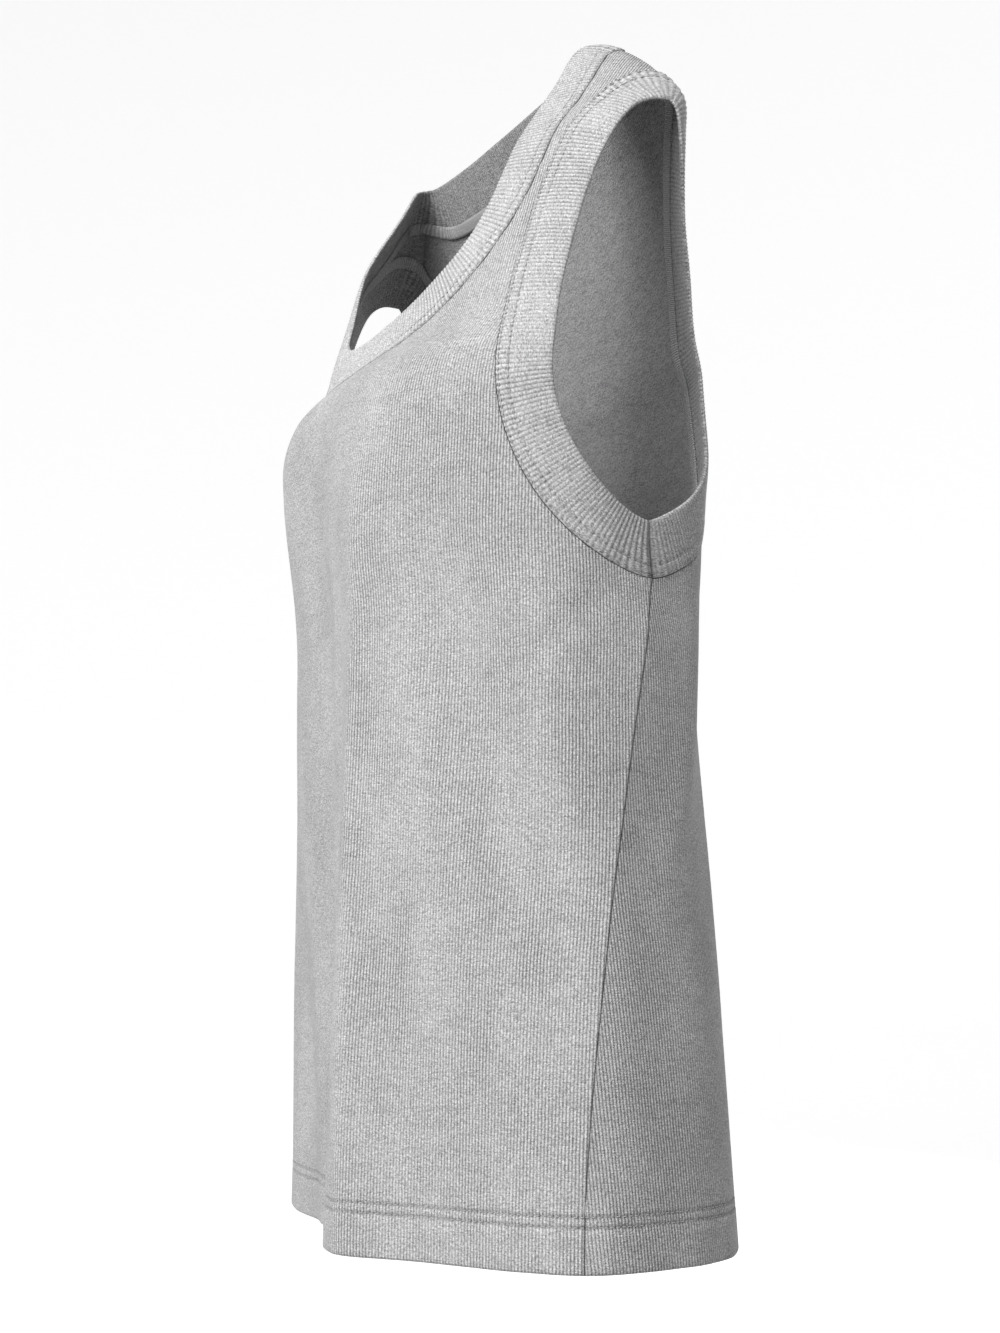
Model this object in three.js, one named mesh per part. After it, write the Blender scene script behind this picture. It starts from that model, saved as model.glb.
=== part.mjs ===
// Rib-knit tank top in its worn, hollow shape. Millimetres, +Z up, the front faces -Y, the left side +X.
// Heights are measured from the hem. The origin is midway between the straps, at their undersides.
import * as THREE from 'three'

// Cloth
const PANEL_WALL = 1.5
const HEM_WALL = 3.2
const HEM_DEPTH = 25
const RIB_WALL = 3.0
const RIB_WIDTH = 29
const RIB_STANDS_OUT = 0.7
const SEAM_GAP = 0.45

// Shoulders: a ridge that falls ever more steeply from the neck to the arm
const NECK_SIDE_X = 97
const NECK_SIDE_HEIGHT = 628.5
const STRAP_EDGE_X = 162.5
const RIDGE_SLOPE = 0.166
const RIDGE_BEND = 0.0098
const RIDGE_SOFTNESS = 10
const RIDGE_FOOT = 560
const HELD_AT_X = 122

// Neck and armhole edges
const NECK_FRONT_HEIGHT = 480
const NECK_FRONT_FULLNESS = 3.7
const NECK_BACK_HEIGHT = 627
const NECK_BACK_FULLNESS = 1.6
const ARMHOLE_LOW_HEIGHT = 352.5
const ARMHOLE_LOW_Y = 29.5

// The armhole's front and back edges reach furthest from its middle line at a share of its height
const ARMHOLE_FRONT = { reach: -54, peak: 0.355, lowRound: 0.62, bend: 1.35, topRound: 0.36 }
const ARMHOLE_BACK = { reach: 54, peak: 0.243, lowRound: 0.9, bend: 0.7, topRound: 0.53 }

// Side seam: it runs from the armhole's lowest point to this place at the hem, and leans most at its top
const SIDE_SEAM_HEM_Y = -17
const SIDE_SEAM_LEAN = 1.6

// One row for each cross-section of the worn shape, rounded squarer than an ellipse, most so at the back
const SQUARENESS = 2
const BACK_SQUARENESS = 3.1
const SECTIONS = [
  { height: 0, halfWidth: 162, frontY: -76, backY: 105, middleY: 10 },
  { height: 110, halfWidth: 158.5, frontY: -77, backY: 97.5, middleY: 10 },
  { height: 230, halfWidth: 152, frontY: -79, backY: 93, middleY: 10 },
  { height: 340, halfWidth: 148, frontY: -81, backY: 98, middleY: 10 },
  { height: 400, halfWidth: 151, frontY: -80.5, backY: 103, middleY: 10 },
  { height: 440, halfWidth: 152, frontY: -79.5, backY: 98.5, middleY: 10 },
  { height: 462, halfWidth: 154.5, frontY: -64, backY: 91.5, middleY: 9.5 },
  { height: 490, halfWidth: 157.5, frontY: -52, backY: 86, middleY: 9 },
  { height: 530, halfWidth: 162.5, frontY: -37, backY: 76, middleY: 15.5 },
  { height: 560, halfWidth: 167, frontY: -28.5, backY: 67.5, middleY: 27 },
  { height: 580, halfWidth: 175, frontY: -20, backY: 59, middleY: 42 },
  { height: 605, halfWidth: 195, frontY: -5, backY: 46, middleY: 37 },
  { height: 640, halfWidth: 215, frontY: 15.5, backY: 27, middleY: 21 },
]

// Fullness of the chest on each side, and the largest folds that fall from it and from the shoulder blades:
// soft ridges (+) and troughs (-), deepest at the hem
const CHEST = { angle: 31, spread: 24.6, depth: 10.6, height: 409, below: 110, above: 59 }
const FOLDS_START = 430
const FOLDS_OPEN = 330
const FOLDS_MIDDLE = 300
const FOLDS = [
  { angle: 26.5, spread: 19, depthAtHem: 20.5, depthAtMiddle: 9.5 },
  { angle: -12, spread: 16.5, depthAtHem: -16.5, depthAtMiddle: -10 },
  { angle: -43, spread: 18, depthAtHem: -15.5, depthAtMiddle: -1.5 },
  { angle: -152, spread: 15, depthAtHem: 7, depthAtMiddle: 4 },
  { angle: 178, spread: 17, depthAtHem: -8, depthAtMiddle: -5 },
  { angle: 146, spread: 14, depthAtHem: 4, depthAtMiddle: 3 },
]

// Mesh density
const ROWS = 48
const ROW_EASE = 1.3
const SIDE_ROWS = 17
const NECK_FRONT_STEPS = 24
const NECK_BACK_STEPS = 14
const HALF_COLUMNS = 16
const HEM_HEIGHTS = [0, 12, HEM_DEPTH, HEM_DEPTH + 1.5]

// Across a rib band from its folded free edge to its seam: the fold is rounded, so the wall starts thinner
const RIB_PROFILE = [
  { width: 0, wall: 0.5 },
  { width: 2, wall: 0.95 },
  { width: 15, wall: 1 },
  { width: RIB_WIDTH, wall: 1 },
]

const QUARTER = Math.PI / 2
const clamp01 = (value) => Math.min(1, Math.max(0, value))
const mix = (from, to, share) => from + (to - from) * share

function smoothStep(from, to, value) {
  const share = clamp01((value - from) / (to - from))
  return share * share * (3 - 2 * share)
}

function softMin(a, b, softness) {
  return 0.5 * (a + b - Math.hypot(a - b, softness))
}

// Smooth curve through one column of the section table
function sectionValue(column, height) {
  const last = SECTIONS.length - 1
  const slope = (row) => {
    const before = SECTIONS[Math.max(0, row - 1)]
    const after = SECTIONS[Math.min(last, row + 1)]
    return (after[column] - before[column]) / (after.height - before.height)
  }
  let row = 0
  while (row < last - 1 && height > SECTIONS[row + 1].height) row += 1
  const low = SECTIONS[row]
  const high = SECTIONS[row + 1]
  const span = high.height - low.height
  const share = clamp01((height - low.height) / span)
  const square = share * share
  const cube = square * share
  const fromValues = (2 * cube - 3 * square + 1) * low[column] + (3 * square - 2 * cube) * high[column]
  const fromSlopes = (cube - 2 * square + share) * slope(row) + (cube - square) * slope(row + 1)
  return fromValues + fromSlopes * span
}

// The ridge has dropped by slope * x + bend * x * x at a distance x from the side of the neck
function halfWidthAt(height) {
  const drop = NECK_SIDE_HEIGHT - height
  const root = Math.sqrt(Math.max(0, RIDGE_SLOPE ** 2 + 4 * RIDGE_BEND * drop))
  const ridge = NECK_SIDE_X + (root - RIDGE_SLOPE) / (2 * RIDGE_BEND)
  return softMin(sectionValue('halfWidth', height), ridge, RIDGE_SOFTNESS)
}

function depthAt(height, towardsBack) {
  const middle = sectionValue('middleY', height)
  return towardsBack ? sectionValue('backY', height) - middle : middle - sectionValue('frontY', height)
}

// Height at which the shoulder ridge stands at this distance from the middle
function ridgeHeight(x) {
  let low = RIDGE_FOOT
  let high = SECTIONS[SECTIONS.length - 1].height
  for (let step = 0; step < 40; step += 1) {
    const middle = (low + high) / 2
    if (halfWidthAt(middle) > x) low = middle
    else high = middle
  }
  return low
}

function degreesFrom(angle, centre) {
  return THREE.MathUtils.euclideanModulo(THREE.MathUtils.radToDeg(angle) - centre + 180, 360) - 180
}

function chestDepth(angle, height) {
  const reach = height < CHEST.height ? CHEST.below : CHEST.above
  const rise = 1 - smoothStep(0, reach, Math.abs(height - CHEST.height))
  const left = Math.exp(-((degreesFrom(angle, CHEST.angle) / CHEST.spread) ** 2))
  const right = Math.exp(-((degreesFrom(angle, -CHEST.angle) / CHEST.spread) ** 2))
  return CHEST.depth * rise * (left + right)
}

function foldDepth(angle, height) {
  const opening = 1 - smoothStep(FOLDS_OPEN, FOLDS_START, height)
  const towardsMiddle = smoothStep(0, FOLDS_MIDDLE, height)
  let sum = 0
  for (const fold of FOLDS) {
    const depth = mix(fold.depthAtHem, fold.depthAtMiddle, towardsMiddle)
    sum += depth * Math.exp(-((degreesFrom(angle, fold.angle) / fold.spread) ** 2))
  }
  return sum * opening
}

// Outer face of the cloth: angle 0 is centre front, a quarter turn the left side and half a turn centre back
function clothPoint({ angle, height }) {
  const across = Math.sin(angle)
  const along = -Math.cos(angle)
  const power = along > 0 ? BACK_SQUARENESS : SQUARENESS
  const inWidth = Math.abs(across / halfWidthAt(height)) ** power
  const inDepth = Math.abs(along / depthAt(height, along > 0)) ** power
  const figure = (inWidth + inDepth) ** (-1 / power)
  const radius = figure + chestDepth(angle, height) + foldDepth(angle, height)
  const x = radius * across
  const y = sectionValue('middleY', height) + radius * along
  return new THREE.Vector3(x, y, height)
}

// Directions in which the face runs as the angle and the height grow, and its normal
function clothFrame(place) {
  const angleStep = 0.002
  const heightStep = 0.2
  const byAngle = clothPoint({ angle: place.angle + angleStep, height: place.height })
    .sub(clothPoint({ angle: place.angle - angleStep, height: place.height }))
    .divideScalar(2 * angleStep)
  const byHeight = clothPoint({ angle: place.angle, height: place.height + heightStep })
    .sub(clothPoint({ angle: place.angle, height: place.height - heightStep }))
    .divideScalar(2 * heightStep)
  return { byAngle, byHeight, normal: byAngle.clone().cross(byHeight).normalize() }
}

// Point at some distance outside (+) or inside (-) the face
function offFace(place, distance) {
  return clothPoint(place).addScaledVector(clothFrame(place).normal, distance)
}

// Walks over the face in a straight line, as a tape measure would lie
function walk(start, direction, distance, steps = 8) {
  const place = { ...start }
  const heading = direction.clone()
  for (let step = 0; step < steps; step += 1) {
    const { byAngle, byHeight, normal } = clothFrame(place)
    heading.addScaledVector(normal, -heading.dot(normal)).normalize()
    const aa = byAngle.dot(byAngle)
    const ah = byAngle.dot(byHeight)
    const hh = byHeight.dot(byHeight)
    const ha = heading.dot(byAngle)
    const hb = heading.dot(byHeight)
    const scale = distance / steps / (aa * hh - ah * ah)
    place.angle += (ha * hh - hb * ah) * scale
    place.height += (hb * aa - ha * ah) * scale
  }
  return place
}

function placeAcross(x, height, towardsBack) {
  const width = halfWidthAt(height)
  const depth = depthAt(height, towardsBack)
  const power = towardsBack ? BACK_SQUARENESS : SQUARENESS
  const share = Math.max(0, 1 - Math.abs(x / width) ** power) ** (1 / power)
  return { angle: Math.atan2(x, towardsBack ? -depth * share : depth * share), height }
}

function placeAlong(y, height) {
  const along = y - sectionValue('middleY', height)
  const depth = depthAt(height, along > 0)
  const power = along > 0 ? BACK_SQUARENESS : SQUARENESS
  const share = Math.max(0, 1 - Math.abs(along / depth) ** power) ** (1 / power)
  return { angle: Math.atan2(halfWidthAt(height) * share, -along), height }
}

// Even steps along a curve given as place(share), with both ends
function evenPlaces(place, count) {
  const fine = 400
  const lengths = [0]
  let before = clothPoint(place(0))
  for (let step = 1; step <= fine; step += 1) {
    const next = clothPoint(place(step / fine))
    lengths.push(lengths[step - 1] + next.distanceTo(before))
    before = next
  }
  const places = []
  let step = 0
  for (let index = 0; index <= count; index += 1) {
    const wanted = (lengths[fine] * index) / count
    while (step < fine - 1 && lengths[step + 1] < wanted) step += 1
    const part = (wanted - lengths[step]) / (lengths[step + 1] - lengths[step])
    places.push(place((step + clamp01(part)) / fine))
  }
  return places
}

// Free edge of the neck from centre front or centre back to the left shoulder
function neckEdge(towardsBack, count) {
  const top = ridgeHeight(NECK_SIDE_X)
  const low = towardsBack ? NECK_BACK_HEIGHT : NECK_FRONT_HEIGHT
  const fullness = towardsBack ? NECK_BACK_FULLNESS : NECK_FRONT_FULLNESS
  return evenPlaces((share) => {
    const rise = (1 - Math.cos(Math.PI * share)) / 2
    const x = NECK_SIDE_X * Math.sqrt(1 - (1 - rise) ** fullness)
    return placeAcross(x, mix(low, top, rise), towardsBack)
  }, count)
}

// Free edge of the left armhole from its lowest point to the shoulder, over the front or the back
function armholeEdge(side, count) {
  const top = ridgeHeight(STRAP_EDGE_X)
  const topY = sectionValue('middleY', top)
  return evenPlaces((share) => {
    const rise = (1 - Math.cos(Math.PI * share)) / 2
    const below = 1 - clamp01(rise / side.peak)
    const above = clamp01((rise - side.peak) / (1 - side.peak))
    const bulge = (1 - below * below) ** side.lowRound * (1 - above ** side.bend) ** side.topRound
    const y = mix(ARMHOLE_LOW_Y, topY, rise) + side.reach * bulge
    return placeAlong(y, mix(ARMHOLE_LOW_HEIGHT, top, rise))
  }, count)
}

// A closed loop of places, each with the direction that leads away from the opening over the cloth
function openingLoop(places) {
  const points = places.map(clothPoint)
  return places.map((place, index) => {
    const before = points[(index + places.length - 1) % places.length]
    const after = points[(index + 1) % places.length]
    const away = after.clone().sub(before).cross(clothFrame(place).normal).normalize()
    return { place, away }
  })
}

// Centre front, over the left shoulder to centre back, and back over the right shoulder
function neckLoop() {
  const front = neckEdge(false, NECK_FRONT_STEPS)
  const back = neckEdge(true, NECK_BACK_STEPS)
  const left = [...front, ...back.slice(0, -1).reverse()]
  const right = left.slice(1, -1).reverse().map(otherSide)
  return openingLoop([...left, ...right])
}

// The underarm, up the back to the shoulder and down the front
function armholeLoop() {
  const steps = ROWS - SIDE_ROWS
  const back = armholeEdge(ARMHOLE_BACK, steps)
  const front = armholeEdge(ARMHOLE_FRONT, steps)
  return openingLoop([...back, ...front.slice(1, -1).reverse()])
}

function otherSide({ angle, height }) {
  return { angle: -angle, height }
}

function shiftedRound(place, distance) {
  return { angle: place.angle + distance / clothFrame(place).byAngle.length(), height: place.height }
}

function placesBetween(from, to, count) {
  const places = []
  for (let index = 0; index <= count; index += 1) {
    const share = index / count
    places.push({ angle: mix(from.angle, to.angle, share), height: mix(from.height, to.height, share) })
  }
  return places
}

// Closed wall from an outer and an inner set of points that share their faces
function wallGeometry(outer, inner, faces) {
  const count = outer.length
  const edges = new Map()
  const index = []
  for (const [a, b, c] of faces) {
    index.push(a, b, c, count + a, count + c, count + b)
    for (const [from, to] of [[a, b], [b, c], [c, a]]) {
      if (!edges.delete(`${to} ${from}`)) edges.set(`${from} ${to}`, [from, to])
    }
  }
  // Each rim's diagonal starts at its higher end, so that rims on the two sides of a seam match
  for (const [from, to] of edges.values()) {
    if (outer[to].z > outer[from].z) index.push(to, from, count + from, to, count + from, count + to)
    else index.push(to, from, count + to, from, count + from, count + to)
  }
  const geometry = new THREE.BufferGeometry().setFromPoints([...outer, ...inner])
  geometry.setIndex(index)
  geometry.computeVertexNormals()
  return geometry
}

// Band of rib knit round an opening
function ribGeometry(loop) {
  const outer = []
  const inner = []
  for (const { place, away } of loop) {
    for (const { width, wall } of RIB_PROFILE) {
      const at = width === 0 ? place : walk(place, away, width)
      const middle = RIB_STANDS_OUT - RIB_WALL / 2
      outer.push(offFace(at, middle + (RIB_WALL * wall) / 2))
      inner.push(offFace(at, middle - (RIB_WALL * wall) / 2))
    }
  }
  const columns = RIB_PROFILE.length
  const faces = []
  for (let step = 0; step < loop.length; step += 1) {
    for (let column = 0; column < columns - 1; column += 1) {
      const a = step * columns + column
      const b = ((step + 1) % loop.length) * columns + column
      faces.push([a, a + 1, b + 1], [a, b + 1, b])
    }
  }
  return wallGeometry(outer, inner, faces)
}

function mirroredGeometry(geometry) {
  const mirrored = geometry.clone().scale(-1, 1, 1)
  const corners = mirrored.getIndex()
  for (let corner = 0; corner < corners.count; corner += 3) {
    const second = corners.getX(corner + 1)
    corners.setX(corner + 1, corners.getX(corner + 2))
    corners.setX(corner + 2, second)
  }
  mirrored.computeVertexNormals()
  return mirrored
}

// Heights of the rows on a side seam or a centre line, the hem's turned-up depth first
function rowHeights(underarm, top, rows) {
  const heights = [...HEM_HEIGHTS]
  const lowRows = SIDE_ROWS - HEM_HEIGHTS.length + 1
  for (let row = 1; row <= lowRows; row += 1) {
    heights.push(mix(HEM_HEIGHTS[HEM_HEIGHTS.length - 1], underarm, row / lowRows))
  }
  for (let row = 1; row <= rows - SIDE_ROWS; row += 1) {
    heights.push(mix(underarm, top, (row / (rows - SIDE_ROWS)) ** ROW_EASE))
  }
  return heights
}

// Front or back panel: rows run from the centre line or neck seam to the side seam or armhole seam
function panelGeometry(neckSeam, armholeSeam, centreAngle) {
  const towardsSeam = centreAngle === 0 ? -SEAM_GAP / 2 : SEAM_GAP / 2
  const underarm = armholeSeam[0]
  const underarmY = clothPoint(underarm).y
  const centreRows = ROWS - neckSeam.length + 1
  const innerEdge = rowHeights(underarm.height, neckSeam[0].height, centreRows)
    .map((height) => ({ angle: centreAngle, height }))
  innerEdge.push(...neckSeam.slice(1))
  const outerEdge = rowHeights(underarm.height, underarm.height, SIDE_ROWS).map((height) => {
    const share = (height / underarm.height) ** SIDE_SEAM_LEAN
    return placeAlong(mix(SIDE_SEAM_HEM_Y, underarmY, share), height)
  })
  outerEdge[SIDE_ROWS] = underarm
  outerEdge.push(...armholeSeam.slice(1))
  for (let row = 0; row <= SIDE_ROWS; row += 1) outerEdge[row] = shiftedRound(outerEdge[row], towardsSeam)

  const outer = []
  const inner = []
  const left = []
  const right = []
  const addPoint = (place) => {
    const wall = place.height <= HEM_DEPTH ? HEM_WALL : PANEL_WALL
    outer.push(clothPoint(place))
    inner.push(offFace(place, -wall))
    return outer.length - 1
  }
  for (let row = 0; row <= ROWS; row += 1) {
    let places = placesBetween(innerEdge[row], outerEdge[row], HALF_COLUMNS)
    if (row === ROWS) places = places.map((place) => shiftedRound(place, towardsSeam))
    left.push(places.map(addPoint))
    const mirrored = places.map(otherSide)
    if (row > centreRows) right.push(mirrored.map(addPoint))
    else right.push([left[row][0], ...mirrored.slice(1).map(addPoint)])
  }

  const faces = []
  for (let row = 0; row < ROWS; row += 1) {
    for (let column = 0; column < HALF_COLUMNS; column += 1) {
      for (const side of [left, right]) {
        const [a, b] = side[row].slice(column, column + 2)
        const [d, c] = side[row + 1].slice(column, column + 2)
        const facesOut = (side === left) === (centreAngle === 0)
        faces.push(...(facesOut ? [[a, b, c], [a, c, d]] : [[a, c, b], [a, d, c]]))
      }
    }
  }
  return wallGeometry(outer, inner, faces)
}

const knit = new THREE.MeshStandardMaterial({ color: 0xb9b9bb, roughness: 0.95, metalness: 0 })
const rib = new THREE.MeshStandardMaterial({ color: 0xb4b4b6, roughness: 0.95, metalness: 0 })

// Seams: where the panels start, a gap beyond the bands
const neck = neckLoop()
const armhole = armholeLoop()
const seamPlace = ({ place, away }) => walk(place, away, RIB_WIDTH + SEAM_GAP)
const neckSeam = neck.slice(0, NECK_FRONT_STEPS + NECK_BACK_STEPS + 1).map(seamPlace)
const armholeSeam = armhole.map(seamPlace)
const shoulderStep = ROWS - SIDE_ROWS

const neckFrontSeam = neckSeam.slice(0, NECK_FRONT_STEPS + 1)
const neckBackSeam = neckSeam.slice(NECK_FRONT_STEPS).reverse()
const armholeBackSeam = armholeSeam.slice(0, shoulderStep + 1)
const armholeFrontSeam = [armholeSeam[0], ...armholeSeam.slice(shoulderStep).reverse()]

const pieces = [
  ['front_panel', panelGeometry(neckFrontSeam, armholeFrontSeam, 0), knit],
  ['back_panel', panelGeometry(neckBackSeam, armholeBackSeam, Math.PI), knit],
  ['neck_rib', ribGeometry(neck), rib],
  ['left_armhole_rib', ribGeometry(armhole), rib],
  ['right_armhole_rib', mirroredGeometry(ribGeometry(armhole)), rib],
]

// The origin is midway between the places where the shoulders carry the straps
const heldAt = offFace({ angle: QUARTER, height: ridgeHeight(HELD_AT_X) }, -PANEL_WALL)
const tankTop = new THREE.Group()
tankTop.position.set(0, -heldAt.y, -heldAt.z)
for (const [name, geometry, material] of pieces) {
  const mesh = new THREE.Mesh(geometry, material)
  mesh.name = name
  tankTop.add(mesh)
}

export default tankTop
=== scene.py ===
import math

import bpy
import numpy as np
from mathutils import Matrix, Vector


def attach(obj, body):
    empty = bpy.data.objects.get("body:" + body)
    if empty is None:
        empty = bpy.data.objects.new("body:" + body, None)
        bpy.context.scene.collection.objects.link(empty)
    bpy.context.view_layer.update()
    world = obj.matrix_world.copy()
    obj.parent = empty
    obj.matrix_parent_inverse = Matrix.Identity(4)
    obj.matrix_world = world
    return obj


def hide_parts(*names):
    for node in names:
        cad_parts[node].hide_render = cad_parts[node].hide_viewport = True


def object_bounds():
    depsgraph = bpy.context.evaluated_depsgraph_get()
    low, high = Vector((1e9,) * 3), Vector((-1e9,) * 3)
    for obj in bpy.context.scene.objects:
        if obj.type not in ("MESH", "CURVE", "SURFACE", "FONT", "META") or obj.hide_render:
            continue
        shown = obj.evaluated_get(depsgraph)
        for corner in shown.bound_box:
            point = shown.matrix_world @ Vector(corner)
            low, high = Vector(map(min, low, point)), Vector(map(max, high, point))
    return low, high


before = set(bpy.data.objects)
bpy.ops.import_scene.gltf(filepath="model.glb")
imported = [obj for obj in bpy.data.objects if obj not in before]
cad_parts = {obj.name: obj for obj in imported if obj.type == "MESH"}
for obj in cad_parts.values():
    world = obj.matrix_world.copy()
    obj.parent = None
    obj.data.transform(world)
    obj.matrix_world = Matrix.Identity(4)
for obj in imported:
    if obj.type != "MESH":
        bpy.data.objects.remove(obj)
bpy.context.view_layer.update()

MM = 0.001

# Cloth
PANEL_WALL = 1.3
HEM_WALL = 3.0
HEM_DEPTH = 25.0
RIB_WALL = 3.0
RIB_WIDTH = 29.0
RIB_STANDS_OUT = 0.7
SEAM_GAP = 0.3
RIB_PITCH = 2.05
RIB_RELIEF = 0.5
KNIT_PITCH = 1.65

# Shoulders
NECK_SIDE_X = 97.0
NECK_SIDE_HEIGHT = 628.5
STRAP_EDGE_X = 162.5
RIDGE_SLOPE = 0.166
RIDGE_BEND = 0.0098
RIDGE_SOFTNESS = 10.0
RIDGE_FOOT = 560.0
HELD_AT_X = 122.0
HELD_WALL = 1.5

# Neck, armholes and side seams
NECK_FRONT_HEIGHT = 480.0
NECK_FRONT_FULLNESS = 3.7
NECK_BACK_HEIGHT = 627.0
NECK_BACK_FULLNESS = 1.6
ARMHOLE_LOW_HEIGHT = 352.5
ARMHOLE_LOW_Y = 29.5
ARMHOLE_FRONT = {"reach": -54, "peak": 0.355, "low_round": 0.62, "bend": 1.35, "top_round": 0.36}
ARMHOLE_BACK = {"reach": 50.5, "peak": 0.243, "low_round": 0.9, "bend": 1.25, "top_round": 0.78}
SIDE_SEAM_HEM_Y = -17.0
SIDE_SEAM_LEAN = 1.6

# One row for each cross-section of the worn shape, rounded squarer than an ellipse, most so at the back
SQUARENESS = 2.0
BACK_SQUARENESS = 3.1
SECTIONS = [
    {"height": 0, "half_width": 162, "front": -76, "back": 105, "middle": 10},
    {"height": 110, "half_width": 158.5, "front": -77, "back": 97.5, "middle": 10},
    {"height": 230, "half_width": 152, "front": -79, "back": 93, "middle": 10},
    {"height": 340, "half_width": 148, "front": -81, "back": 98, "middle": 10},
    {"height": 400, "half_width": 151, "front": -80.5, "back": 103, "middle": 10},
    {"height": 440, "half_width": 152, "front": -79.5, "back": 98.5, "middle": 10},
    {"height": 462, "half_width": 154.5, "front": -64, "back": 91.5, "middle": 9.5},
    {"height": 490, "half_width": 157.5, "front": -52, "back": 86, "middle": 9},
    {"height": 530, "half_width": 162.5, "front": -37, "back": 76, "middle": 15.5},
    {"height": 560, "half_width": 167, "front": -28.5, "back": 67.5, "middle": 27},
    {"height": 580, "half_width": 175, "front": -20, "back": 59, "middle": 42},
    {"height": 605, "half_width": 195, "front": -5, "back": 46, "middle": 37},
    {"height": 640, "half_width": 215, "front": 15.5, "back": 27, "middle": 21},
]

# Fullness of the chest and the largest folds, ridges (+) and troughs (-)
CHEST = {"angle": 31, "spread": 24.6, "depth": 10.6, "height": 409, "below": 110, "above": 59}
FOLDS_START = 430.0
FOLDS_OPEN = 330.0
FOLDS_MIDDLE = 300.0
FOLDS = [
    {"angle": 26.5, "spread": 19, "at_hem": 20.5, "at_middle": 9.5},
    {"angle": -12, "spread": 16.5, "at_hem": -16.5, "at_middle": -10},
    {"angle": -43, "spread": 18, "at_hem": -15.5, "at_middle": -1.5},
    {"angle": -152, "spread": 15, "at_hem": 7, "at_middle": 4},
    {"angle": 178, "spread": 17, "at_hem": -8, "at_middle": -5},
    {"angle": 146, "spread": 14, "at_hem": 4, "at_middle": 3},
]

# Smaller folds and creases, each from one angle and height to another: width and depth across it
CREASES = [
    {"from": (28, 376), "to": (26, 6), "width": 10, "depth": 3.8},
    {"from": (13, 372), "to": (12, 8), "width": 17, "depth": -4.6},
    {"from": (52, 352), "to": (74, 160), "width": 25, "depth": -7.0},
    {"from": (69, 205), "to": (72, 18), "width": 27, "depth": -2.2},
    {"from": (42, 345), "to": (60, 84), "width": 27, "depth": 3.5},
    {"from": (62, 356), "to": (82, 200), "width": 19, "depth": 3.0},
    {"from": (37, 185), "to": (40, 14), "width": 20, "depth": -1.7},
    {"from": (88, 322), "to": (66, 262), "width": 9, "depth": -1.0},
    {"from": (105, 352), "to": (101, 296), "width": 18, "depth": -2.2},
    {"from": (112, 312), "to": (99, 178), "width": 10, "depth": 2.2},
    {"from": (121, 318), "to": (108, 150), "width": 17, "depth": -3.4},
    {"from": (118, 240), "to": (126, 30), "width": 20, "depth": 1.8},
    {"from": (139, 350), "to": (141, 140), "width": 16, "depth": -1.5},
    {"from": (-25, 352), "to": (-29, 20), "width": 17, "depth": 1.5},
    {"from": (-55, 350), "to": (-70, 150), "width": 23, "depth": -2.4},
    {"from": (-74, 190), "to": (-76, 12), "width": 22, "depth": -1.2},
    {"from": (-66, 330), "to": (-80, 215), "width": 17, "depth": 1.6},
    {"from": (-60, 200), "to": (-59, 30), "width": 20, "depth": 1.4},
    {"from": (-106, 346), "to": (-102, 292), "width": 17, "depth": -1.9},
    {"from": (-113, 300), "to": (-103, 196), "width": 10, "depth": 1.3},
    {"from": (-122, 326), "to": (-112, 128), "width": 18, "depth": -1.7},
    {"from": (-142, 360), "to": (-138, 118), "width": 17, "depth": -1.4},
    {"from": (161, 440), "to": (167, 240), "width": 17, "depth": 1.6},
    {"from": (-170, 425), "to": (-163, 215), "width": 16, "depth": 1.3},
    {"from": (176, 250), "to": (172, 15), "width": 17, "depth": 1.3},
]

# How far a crease sways from its line in degrees, fades beyond its ends, and spreads in shares of its width
CREASE_SWAY = 1.2
CREASE_FADE = 14.0
CREASE_SPREAD = 0.4

# The cloth stands up to a soft edge along each side seam
SIDE_EDGE_DEPTH = 4.0
SIDE_EDGE_SPREAD = 8.5
SIDE_EDGE_TOP = 322.0
SIDE_EDGE_FADE = 34.0

# Mesh density
ROWS = 168
ROW_EASE = 1.15
SIDE_ROWS = 66
HALF_COLUMNS = 66
NECK_FRONT_STEPS = 460
NECK_BACK_STEPS = 270
ARMHOLE_STEPS = 560
TAPE_ROWS = 180
TAPE_COLUMNS = 260

# Times that a loop is evened out, and how many of its steps the evening reaches near a soft corner
TURN_PASSES = 260
CORNER_PASSES = 240
CORNER_REACH = 40.0
BACK_BEND_PASSES = 1100
BACK_BEND_REACH = 75.0


def clamp01(value):
    return np.clip(value, 0.0, 1.0)


def mix(low, high, share):
    return low + (high - low) * share


def smooth_step(low, high, value):
    share = clamp01((value - low) / (high - low))
    return share * share * (3 - 2 * share)


SECTION_HEIGHTS = np.array([row["height"] for row in SECTIONS], float)
SIDE_EDGE_HEIGHTS = np.linspace(0, ARMHOLE_LOW_HEIGHT - RIB_WIDTH, 60)


def section_value(column, height):
    values = np.array([row[column] for row in SECTIONS], float)
    last = len(SECTIONS) - 1
    before = np.maximum(np.arange(last + 1) - 1, 0)
    after = np.minimum(np.arange(last + 1) + 1, last)
    slopes = (values[after] - values[before]) / (SECTION_HEIGHTS[after] - SECTION_HEIGHTS[before])
    height = np.asarray(height, float)
    row = np.clip(np.searchsorted(SECTION_HEIGHTS, height, side="left") - 1, 0, last - 1)
    span = SECTION_HEIGHTS[row + 1] - SECTION_HEIGHTS[row]
    share = clamp01((height - SECTION_HEIGHTS[row]) / span)
    square = share * share
    cube = square * share
    from_values = (2 * cube - 3 * square + 1) * values[row] + (3 * square - 2 * cube) * values[row + 1]
    from_slopes = (cube - 2 * square + share) * slopes[row] + (cube - square) * slopes[row + 1]
    return from_values + from_slopes * span


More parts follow.
